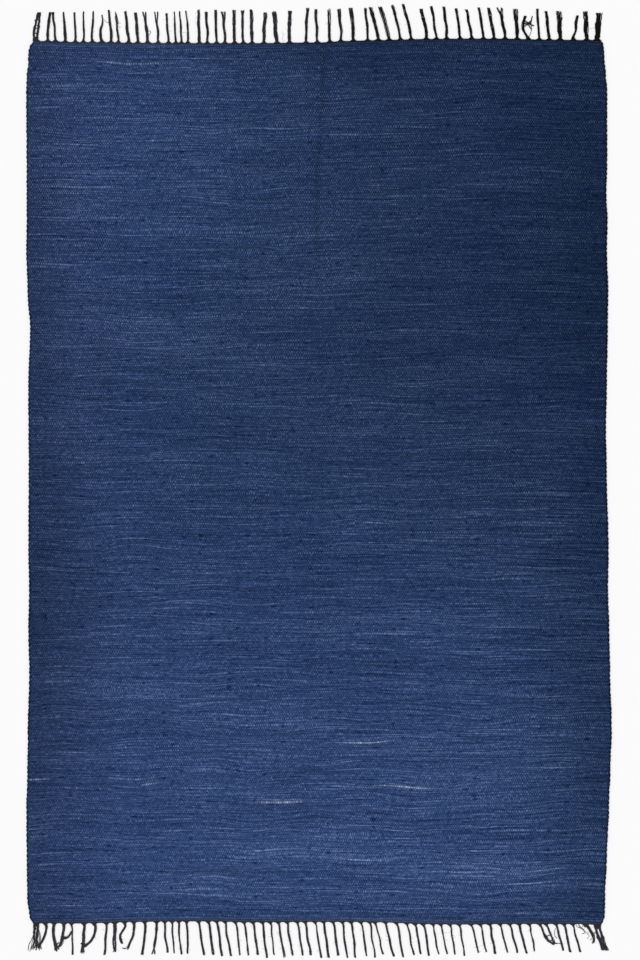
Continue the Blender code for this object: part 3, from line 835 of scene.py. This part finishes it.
def centre_line(strand, route, along):
    """X and distance from the cloth of a strand's middle, at shares of its length."""
    if route:
        line = through(route, along)
        return line[:, 0], line[:, 1]
    free = np.maximum(along * (HEADING_WIDTH + strand.length) - HEADING_WIDTH, 0.0) / strand.length
    x = strand.root + strand.tip_shift * free**LEAN_CURVE + strand.bend * np.sin(WIGGLE_TURN * free)
    return x, along * (HEADING_WIDTH + strand.length)


def painted_light_tone(side, x):
    """Painted light on the warp at this place: lighter at the near end and the far left, darker far right.
    """
    if side == NEAR:
        return NEAR_TONE
    rightward = smooth_step((x - FAR_TONE_START) / FAR_TONE_WIDTH)
    return FAR_PAINTED_LIGHT[0] + (FAR_PAINTED_LIGHT[1] - FAR_PAINTED_LIGHT[0]) * rightward


def hook(side, x, out):
    """Sideways curl of a strand where it leaves the cloth."""
    if side == FAR:
        return 0.0
    here = smooth_step((x - HOOK_FROM) / 0.15) * smooth_step((HOOK_TO - x) / 0.02)
    return -NEAR_HOOK * here * np.clip(1.0 - out / HOOK_REACH, 0.0, 1.0) ** 2


def grow_strand(yarns, dice, strand, side, route, fork, double, frayed):
    """One strand: its yarns are drawn together out of the cloth and lie on the floor."""
    count = max(FEWEST_YARNS, round(strand.width / YARN_PITCH))
    end = end_y(strand.root, side) + side * GAP
    along = np.linspace(0.0, 1.0, YARN_STEPS) ** STEP_CURVE
    kink = dice.uniform(-KINK, KINK, 2)
    taper = dice.uniform(0.0, TAPER) if side == FAR and strand.tip <= 1.0 else 0.0
    twist = dice.uniform(-TWIST, TWIST)
    phase = dice.uniform(0, 2 * np.pi)
    tone = dice.uniform(-STRAND_TONE, STRAND_TONE) + painted_light_tone(side, strand.root)
    knobs = dice.uniform(0.0, 2 * np.pi, 2)
    spread = TIP_SPREAD + FRAYED_SPREAD * frayed
    stagger = TIP_STAGGER + FRAYED_STAGGER * frayed
    loose_start = LOOSE_START - 0.5 * frayed
    for number in range(count):
        own = along * (1.0 - stagger * dice.random() ** 2)
        x, out = centre_line(strand, route, own)
        loose = smooth_step((own - loose_start) / (1.0 - LOOSE_START))
        girth = 1.0 + (strand.tip - 1.0) * own - taper * smooth_step((own - 0.5) / 0.5)
        girth = girth * (1.0 + KNOBS * (np.sin(13.0 * own + knobs[0]) + np.sin(29.0 * own + knobs[1])) / 2)
        half = max(strand.width / 2 - YARN_RADIUS, LEAST_HALF) * girth
        centre = 0.0
        if double:
            apart = double.gap * smooth_step((double.close - own) / 0.3)
            centre = (1 if number % 2 else -1) * half * (0.45 + 0.22 * apart)
            half = half * (0.55 - 0.22 * apart)
        height = (NECK_HEIGHT + (TIP_HEIGHT - NECK_HEIGHT) * own) / 2 - YARN_RADIUS
        angle = phase + 2 * np.pi * number / count + 2 * np.pi * twist * own
        inner = 1.0 if number % 3 else CORE
        neck = NECK + (1.0 - NECK) * smooth_step(out / NECK_REACH)
        x = x + hook(side, strand.root, out) + centre + inner * half * neck * np.cos(angle)
        x = x + kink[0] * np.sin(4.5 * own + phase) + kink[1] * np.sin(11.0 * own + 2 * phase)
        x = x + loose * dice.uniform(-spread, spread)
        if fork:
            apart = smooth_step((own - fork.start) / (1.0 - fork.start))
            x = x + (1 if number * 2 < count else -1) * fork.opening / 2 * apart
        lying = YARN_RADIUS + height * (1 + inner * np.sin(angle))
        z = np.maximum(lying + loose * dice.uniform(*LOOSE_LIFT), YARN_RADIUS)
        x = x + YARN_FUZZ * dice.uniform(-1, 1, len(x))
        radii = YARN_RADIUS * dice.uniform(*YARN_GIRTHS) * (1.0 - (0.10 + 0.25 * frayed) * loose)
        path = np.stack([x, end + side * (out + YARN_START), z], axis=-1)
        yarns.add(path, radii, YARN_SIDES, tone + dice.uniform(-YARN_TONE, YARN_TONE))
    flare_root(yarns, dice, strand, side, tone)
    for _ in range(HAIRS + round(FRAYED_HAIRS * frayed)):
        add_hair(yarns, dice, strand, side, route, end)


def heading_ends(side, inset):
    """X of the cloth's two corners at one end, moved in a little."""
    share = 1.0 if side == FAR else 0.0
    return edge_x(share, LEFT) + inset, edge_x(share, RIGHT) - inset


def flare_root(yarns, dice, strand, side, tone):
    """The yarns that come out of the cloth to either side of a strand and sweep into it."""
    step = np.linspace(0.0, 1.0, FLARE_POINTS)
    closing = (1.0 - step) ** FLARE_CURVE
    half = FLARE_HALF * min(1.3, 0.75 + 60.0 * strand.width)
    longer = 1.0 + 45.0 * max(strand.width - 0.007, 0.0)
    start = strand.root + hook(side, strand.root, 0.0)
    first, last = heading_ends(side, YARN_RADIUS)
    for number in range(FLARE_YARNS):
        offset = half * (2.0 * number / (FLARE_YARNS - 1) - 1.0)
        offset = offset + dice.uniform(-FLARE_SCATTER, FLARE_SCATTER)
        offset = min(max(offset, first - start), last - start)
        reach = FLARE_REACH * longer * dice.uniform(0.85, 1.15)
        out = 0.0006 + reach * step**1.3
        join = strand.root + hook(side, strand.root, out)
        x = join + (start + offset - join) * closing
        x = x + 0.30 * strand.width * (offset / half) * step
        y = end_y(start + offset * closing, side) + side * (GAP + out)
        z = FLARE_HEIGHT + FLARE_TIER * (number % 3) - FLARE_DROP * step
        yarns.add(np.stack([x, y, z], axis=-1), YARN_RADIUS * 0.95, 4, tone + dice.uniform(-0.3, 0.3))


def add_hair(yarns, dice, strand, side, route, end):
    """A fine fibre that has worked loose from a strand."""
    start = dice.uniform(0.15, 0.95)
    x, out = centre_line(strand, route, np.array([start]))
    reach = dice.uniform(*HAIR_LENGTHS)
    heading = dice.uniform(-1.2, 1.2) + (0.0 if start > 0.7 else math.copysign(0.6, dice.uniform(-1, 1)))
    curl = dice.uniform(-HAIR_CURL, HAIR_CURL)
    steps = np.linspace(0.0, 1.0, HAIR_POINTS)
    turn = heading + curl * steps
    across = np.cumsum(np.sin(turn)) * reach / len(steps)
    onward = np.cumsum(np.cos(turn)) * reach / len(steps)
    z = 0.0002 + 0.0012 * (1 - steps) ** 2
    path = np.stack([x + across, end + side * (out + onward), z], axis=-1)
    yarns.add(path, HAIR_RADIUS, 3, dice.uniform(0.2, 1.0))


def twine_heading(yarns, side):
    """The two-ply line twined along the end of the cloth."""
    first, last = heading_ends(side, TWINE_RADIUS)
    turns = round((last - first) / TWINE_PITCH)
    x = np.linspace(first, last, turns * TWINE_STEPS + 1)
    for ply in range(2):
        angle = 2 * np.pi * turns * (x - first) / (last - first) + np.pi * ply
        y = end_y(x, side) + side * (GAP + TWINE_OUT + TWINE_SWAY * np.cos(angle))
        z = TWINE_HEIGHT + TWINE_RISE * np.sin(angle)
        # Painted light along the twine: lighter at the near end and the far left, darker far right.
        painted_lighter = 1.0
        if side == FAR:
            painted_lighter = 1.0 - smooth_step((x - HEADING_TONE_START) / HEADING_TONE_WIDTH)
        tone = FAR_PAINTED_LIGHT[1] + (HEADING_TONE - FAR_PAINTED_LIGHT[1]) * painted_lighter
        yarns.add(np.stack([x, y, z], axis=-1), TWINE_RADIUS, 4, tone)


def make_fringe(name, zones, side, seed):
    """One fringe: heading, strands, and the threads that stray between them."""
    dice = np.random.default_rng(seed)
    yarns = Yarns()
    twine_heading(yarns, side)
    for number, strand in enumerate(lay_out_strands(zones, seed)):
        strand = strand._replace(width=strand.width * SWELLS[side].get(number, 1.0))
        special = [table[side].get(number) for table in (ROUTES, FORKS, DOUBLES)]
        grow_strand(yarns, dice, strand, side, *special, FRAYS[side].get(number, 0.0))
    places = np.linspace(0, 1, THREAD_POINTS)
    for thread in THREADS[side]:
        line = through(thread.points, places)
        radius = thread.radius / 1000
        z = radius + THREAD_LIFT * np.sin(np.pi * places)
        y = end_y(line[:, 0], side) + side * (GAP + line[:, 1])
        yarns.add(np.stack([line[:, 0], y, z], axis=-1), radius, YARN_SIDES, painted_light_tone(side, line[:, 0]))
    return yarns.make(name)


# ---------------------------------------------------------------- materials

class Graph:
    """Adds nodes to a material and joins them up."""

    def __init__(self, name):
        self.material = bpy.data.materials.new(name)
        self.material.use_nodes = True
        self.tree = self.material.node_tree
        self.shader = self.tree.nodes["Principled BSDF"]

    def feed(self, socket, value):
        """Joins a socket to another's output, or sets its own value."""
        if isinstance(value, bpy.types.NodeSocket):
            self.tree.links.new(value, socket)
        else:
            socket.default_value = value

    def node(self, kind, *values, **settings):
        """The first output of a new node, with its settings made and its sockets fed in their order."""
        node = self.tree.nodes.new("ShaderNode" + kind)
        for name, value in settings.items():
            setattr(node, name, value)
        for socket, value in zip(node.inputs, values):
            self.feed(socket, value)
        return node.outputs[0]

    def math(self, operation, *values, clamp=False):
        return self.node("Math", *values, operation=operation, use_clamp=clamp)

    def times(self, *values, clamp=False):
        return self.math("MULTIPLY", *values, clamp=clamp)

    def less(self, value, other):
        return self.math("SUBTRACT", value, other)

    def from_middle(self, value):
        """0 in the middle between 0 and 1, and 1 at either of them."""
        return self.times(self.math("ABSOLUTE", self.less(value, 0.5)), 2.0)

    def total(self, *terms):
        """The sum of (value, weight) terms. A plain number is added as it is."""
        result = 0.0
        for term in terms:
            value, weight = term if isinstance(term, tuple) else (1.0, term)
            result = self.math("MULTIPLY_ADD", value, weight, result)
        return result

    def vector(self, x, y):
        return self.node("CombineXYZ", x, y)

    def noise(self, vector, scale=1.0, detail=0.0, roughness=0.5):
        """Noise about 0, mostly between -0.5 and 0.5."""
        noise = self.node("TexNoise", vector, 0.0, scale, detail, roughness, noise_dimensions="2D")
        return self.less(noise, 0.5)

    def speckle(self, vector):
        """One random value from 0 to 1 for each whole-number place."""
        return self.node("TexWhiteNoise", vector, noise_dimensions="2D")

    def between(self, value, low, high):
        """0 at low, 1 at high, and a soft step between."""
        return self.node("MapRange", value, low, high, interpolation_type="SMOOTHSTEP")

    def ramp(self, value, stops):
        """A colour ramp through (place, colour) stops."""
        node = self.tree.nodes.new("ShaderNodeValToRGB")
        self.feed(node.inputs[0], value)
        elements = node.color_ramp.elements
        while len(elements) < len(stops):
            elements.new(0.5)
        for element, (place, colour) in zip(elements, stops):
            element.position = place
            element.color = (*colour, 1.0)
        return node.outputs[0]

    def mix(self, kind, share, one, other):
        node = self.tree.nodes.new("ShaderNodeMix")
        node.data_type = "RGBA"
        node.blend_type = kind
        self.feed(node.inputs[0], share)
        for socket, value in ((node.inputs[6], one), (node.inputs[7], other)):
            self.feed(socket, (*value, 1.0) if isinstance(value, tuple) else value)
        return node.outputs[2]

    def map(self, name):
        """The two coordinates of a named map."""
        split = self.tree.nodes.new("ShaderNodeSeparateXYZ")
        self.feed(split.inputs[0], self.node("UVMap", uv_map=name))
        return split.outputs[0], split.outputs[1]

    def mark(self, name):
        """A point value stored with the mesh."""
        node = self.tree.nodes.new("ShaderNodeAttribute")
        node.attribute_name = name
        return node.outputs["Fac"]

    def bump(self, height, distance):
        node = self.tree.nodes.new("ShaderNodeBump")
        node.inputs["Distance"].default_value = distance
        self.feed(node.inputs["Height"], height)
        self.feed(self.shader.inputs["Normal"], node.outputs[0])

    def surface(self, **values):
        """Sets the shader's own sockets, named with underscores."""
        for name, value in values.items():
            self.feed(self.shader.inputs[name.replace("_", " ")], value)


RAG_COLOURS = [
    (0.00, (0.0020, 0.0083, 0.034)),
    (0.30, (0.0110, 0.0262, 0.079)),
    (0.55, (0.0290, 0.0590, 0.153)),
    (0.80, (0.0830, 0.1340, 0.268)),
    (1.00, (0.1800, 0.2500, 0.390)),
]
WARP_COLOURS = [
    (0.00, (0.0042, 0.0040, 0.0058)),
    (0.50, (0.0125, 0.0121, 0.0165)),
    (0.75, (0.0370, 0.0358, 0.0450)),
    (1.00, (0.0560, 0.0660, 0.1050)),
]
UNDYED = (0.32, 0.41, 0.56)
# The warp floats sunk between the bumps: their own dark warp, painted the deep blue of shade there.
WARP_FLOAT_SHADED = (0.0030, 0.0070, 0.0230)
BOUND_WARP = (0.036, 0.047, 0.088)
GLOSS_TINT = (0.35, 0.50, 1.00, 1.0)
SHADE_RED = 1.18  # where the painted shade is darker, the rug is painted a purer blue
SHADE_GREEN = 1.04
LEFT_RED = 0.09  # the left side is a little greyer
LEFT_FADE_ENDS = 110.0
PICK_STEP = 7.31  # how far apart neighbouring picks lie in noise, so each has its own
THREAD_STEP = 0.7  # picks from a fine streak to its opposite
FLOAT_START = 0.50  # share of the way from the rag's bump to the warp float's middle
FLOAT_FULL = 0.85
FARTHER_PICKS = (90.0, 330.0)  # the far end's looks come in between these picks
DYE_BASE = 0.458

Streak = namedtuple("Streak", "length per_pick weight")
# Streaks in the dye, and dark nicks: length in warp ends, how many to a pick, and how strong.
LONG_STREAK = Streak(45.0, 1.10, 0.15)
FINE_STREAKS = [Streak(11.0, 1.15, 0.085), Streak(5.0, 1.25, 0.07), Streak(2.6, 1.30, 0.17)]
BROAD_BANDS = Streak(170.0, 0.058, 0.16)
LIGHT_DASHES = Streak(20.0, 1.30, 0.12)
# Dark nicks where rag strips join: partly the join itself, partly painted shadow in its gap.
DARK_NICKS = Streak(8.0, 0.80, -0.27)


def rag_material():
    """Indigo rag weft crossed by dark warp floats, offset from pick to pick as in plain weave."""
    g = Graph("indigo_rag_weave")
    raw_across, along = g.map("weave")
    place = g.vector(raw_across, along)
    bunch = g.noise(g.vector(g.times(raw_across, 0.06), g.times(along, 0.014)), 1.0, 1.0)
    across = g.total((raw_across, 1.0), (g.noise(place, 0.32), 0.7), (bunch, 3.0))
    pick = g.math("FLOOR", along)
    odd = g.times(g.math("MODULO", pick, 2.0), 0.5)
    pair = g.math("MULTIPLY_ADD", across, 0.5, odd)
    to_float = g.from_middle(g.math("FRACT", pair))
    to_groove = g.from_middle(g.less(along, pick))

    def along_pick(length, seed, detail):
        """Noise along each pick, on its own for every pick. Length is in warp ends."""
        spot = g.vector(g.math("DIVIDE", across, length), g.math("MULTIPLY_ADD", pick, PICK_STEP, seed))
        return g.noise(spot, 1.0, detail, 0.55)

    def bands(streak, detail, shift=0.0):
        """Streaks that run along the picks, finer or broader than one pick."""
        down = g.math("MULTIPLY_ADD", along, streak.per_pick, shift * streak.per_pick)
        return g.noise(g.vector(g.math("DIVIDE", across, streak.length), down), 1.0, detail)

    def threads(streak):
        """Thin streaks, each with its opposite beside it, so that they leave no broad bands."""
        return g.less(bands(streak, 0.0), bands(streak, 0.0, THREAD_STEP)), streak.weight

    # Painted highlight along each rib's crown, random in strength from pick to pick.
    top = g.math("POWER", g.less(1.0, to_groove), 1.5)
    rib_highlight_amount = g.math("MAXIMUM", along_pick(60.0, 559.3, 1.0), 0.0)
    bump_number = g.vector(g.math("FLOOR", pair), pick)
    speckle = g.speckle(bump_number)
    farther = g.between(along, *FARTHER_PICKS)
    nearer = g.less(1.0, farther)
    dotty = g.total((g.noise(place, 0.018, 1.0), 0.7), (farther, 0.46), (raw_across, 0.0005), 0.46)
    seen = g.between(along_pick(34.0, 1191.0, 2.0), -0.30, 0.20)
    seen = g.times(g.times(seen, dotty), g.between(rib_highlight_amount, 0.45, 0.02))
    # Painted highlight on the middle of each weft bump, darker towards the warp floats, where the dots are
    # seen.
    bump_highlight = g.less(0.36, g.times(to_float, to_float))
    rightward = g.math("POWER", g.times(raw_across, 1.0 / WARP_ENDS, clamp=True), 2.0)
    line_gain = g.total((g.times(rightward, nearer), 0.85), 1.0)
    long_lines = g.total((along_pick(120.0, 3.7, 1.0), 0.20), threads(LONG_STREAK))
    dye = g.total(
        (g.times(long_lines, line_gain), 1.0),
        *(threads(streak) for streak in FINE_STREAKS),
        (bands(BROAD_BANDS, 1.0), BROAD_BANDS.weight),
        (g.less(speckle, 0.5), 0.17),
        (seen, 0.037),
        (g.times(bump_highlight, seen), 0.38),
        (g.times(top, rib_highlight_amount), 0.98),
        (g.between(bands(LIGHT_DASHES, 1.0), 0.22, 0.36), LIGHT_DASHES.weight),
        (g.between(bands(DARK_NICKS, 0.0), 0.28, 0.36), DARK_NICKS.weight),
        DYE_BASE,
    )
    colour = g.ramp(dye, RAG_COLOURS)

    dotted = g.times(g.math("POWER", speckle, 2.0), g.between(to_float, 0.9, 0.2))
    pale = g.times(g.mark("pale"), g.total((dotted, 0.75), 0.30), clamp=True)
    colour = g.mix("MIX", pale, colour, UNDYED)

    # Where the warp floats show: their own warp, partly painted shade.
    on_float = g.between(to_float, FLOAT_START, FLOAT_FULL)
    on_float = g.times(on_float, g.less(1.0, g.between(to_groove, 0.80, 1.0)))
    colour = g.mix("MIX", g.times(on_float, g.total((seen, 0.68), 0.24)), colour, WARP_FLOAT_SHADED)
    covered = g.times(g.mark("bound"), g.total((speckle, 0.40), 0.34))
    colour = g.mix("MIX", covered, colour, BOUND_WARP)

    # Painted shade in the grooves between picks, stronger in some grooves than in others.
    groove = g.math("FLOOR", g.math("ADD", along, 0.5))
    groove_spot = g.vector(g.math("DIVIDE", across, 40.0), g.math("MULTIPLY_ADD", groove, PICK_STEP, 905.0))
    groove_shade_strength = g.math("MAXIMUM", g.total((g.noise(groove_spot, 1.0, 1.0), 2.4), 0.26), 0.0)
    painted_groove_shade = g.times(g.between(to_groove, 0.45, 1.0), groove_shade_strength)
    # Darker by painted groove shade, painted shade along the fold, and the rim's line, partly its own dark
    # warp and partly painted shade.
    shade = g.total((painted_groove_shade, -0.55), (g.mark("fold"), -0.25), (g.mark("rim"), -0.62), 1.0)
    # times the painted broad light and shade stored with the points
    shade = g.times(shade, g.mark("shade"))
    greyer = g.total((g.between(raw_across, LEFT_FADE_ENDS, 0.0), LEFT_RED), 1.0)
    # Red and green follow the painted shade more steeply, so the painted darker parts are a purer blue.
    red = g.times(g.math("POWER", shade, SHADE_RED), greyer)
    tint = g.node("CombineColor", red, g.math("POWER", shade, SHADE_GREEN), shade)

    swell = g.times(g.less(1.0, g.math("POWER", to_float, 2.0)), 0.8)
    wrinkle = g.noise(g.vector(g.times(across, 0.35), g.times(along, 5.0)), 1.0, 2.0)
    fibre = g.noise(place, 9.0, 1.0)
    g.bump(g.total((swell, 1.0), (on_float, 0.35), (wrinkle, 0.55), (fibre, 0.12)), 0.0010)
    g.surface(
        Base_Color=g.mix("MULTIPLY", 1.0, colour, tint),
        Roughness=g.total((g.noise(place, 0.4, 2.0), 0.25), 0.88),
        Specular_IOR_Level=0.08,
        Specular_Tint=GLOSS_TINT,
        Sheen_Weight=0.04,
        Sheen_Roughness=0.45,
        Sheen_Tint=GLOSS_TINT,
    )
    return g.material


def warp_material():
    """Blue-black plied cotton, a little dusty."""
    g = Graph("blue_black_warp")
    around, along = g.map("yarn")
    ply = g.math("MULTIPLY_ADD", along, 420.0, g.times(around, 3.0))
    groove = g.math("ABSOLUTE", g.less(g.math("FRACT", ply), 0.5))
    lint = g.noise(g.vector(around, g.times(along, 300.0)), 3.0, 2.0)
    # The ply grooves are painted darker: painted shade in them.
    tone = g.total((g.mark("tone"), 0.16), (lint, 0.35), (groove, -0.5), 0.5)
    g.bump(g.total((groove, -1.0), (lint, 0.3)), 0.0004)
    g.surface(
        Base_Color=g.ramp(tone, WARP_COLOURS),
        Roughness=g.total((lint, 0.2), 0.85),
        Specular_IOR_Level=0.06,
    )
    return g.material


# ---------------------------------------------------------------- floor, light and camera

PHOTO_WIDTH = 640
PHOTO_HEIGHT = 960
METRES_PER_PIXEL = 0.0020654
PHOTO_MIDDLE_X = 318.2  # the rug's middle in the photograph
PHOTO_MIDDLE_Y = 481.75
FLOOR_HALF = 40.0
FLOOR_COLOUR = (0.86, 0.86, 0.86, 1.0)
LENS = 85.0  # millimetres, as is the sensor
SENSOR = 36.0
SKY_STRENGTH = 0.43
SOFTBOX_STRENGTH = 2.42
SOFTBOX_SPREAD = 46.0  # degrees across, so its shadows are soft
SOFTBOX_TILT = 26.0  # degrees from overhead
SOFTBOX_TURN = -38.0  # it stands beyond the near end, towards the left


def make_floor():
    mesh = bpy.data.meshes.new("studio_floor")
    corners = [(-1, -1), (1, -1), (1, 1), (-1, 1)]
    mesh.from_pydata([(x * FLOOR_HALF, y * FLOOR_HALF, 0) for x, y in corners], [], [(0, 1, 2, 3)])
    g = Graph("studio_floor")
    g.surface(Base_Color=FLOOR_COLOUR, Roughness=0.9, Specular_IOR_Level=0.1)
    mesh.materials.append(g.material)
    floor = link("studio_floor", mesh)


def make_light():
    world = bpy.data.worlds.new("studio")
    bpy.context.scene.world = world
    world.use_nodes = True
    background = world.node_tree.nodes["Background"]
    background.inputs["Color"].default_value = (1.0, 1.0, 1.0, 1.0)
    background.inputs["Strength"].default_value = SKY_STRENGTH
    lamp = bpy.data.lights.new("softbox", "SUN")
    lamp.energy = SOFTBOX_STRENGTH
    lamp.angle = math.radians(SOFTBOX_SPREAD)
    softbox = bpy.data.objects.new("softbox", lamp)
    softbox.rotation_euler = (math.radians(SOFTBOX_TILT), 0.0, math.radians(SOFTBOX_TURN))
    bpy.context.scene.collection.objects.link(softbox)


def make_camera():
    data = bpy.data.cameras.new("camera")
    data.lens = LENS
    data.sensor_width = SENSOR
    camera = bpy.data.objects.new("camera", data)
    distance = LENS / SENSOR * PHOTO_HEIGHT * METRES_PER_PIXEL
    x = (PHOTO_WIDTH / 2 - PHOTO_MIDDLE_X) * METRES_PER_PIXEL
    y = (PHOTO_MIDDLE_Y - PHOTO_HEIGHT / 2) * METRES_PER_PIXEL
    camera.location = (x + CENTRING[0], y + CENTRING[1], THICKNESS + distance)
    bpy.context.scene.collection.objects.link(camera)
    bpy.context.scene.camera = camera


def main():
    weave = make_rag_weave()
    far = make_fringe("warp_fringe_far", FAR_ZONES, FAR, FAR_SEED)
    near = make_fringe("warp_fringe_near", NEAR_ZONES, NEAR, NEAR_SEED)
    weave.data.materials.append(rag_material())
    warp = warp_material()
    for fringe in (far, near):
        fringe.data.materials.append(warp)
    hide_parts("woven_panel")
    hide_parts("fringe_far")
    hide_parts("fringe_near")
    for piece in (weave, far, near):
        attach(piece, "root")
    make_floor()
    make_light()
    make_camera()
    bpy.context.scene.view_settings.view_transform = "Standard"


main()
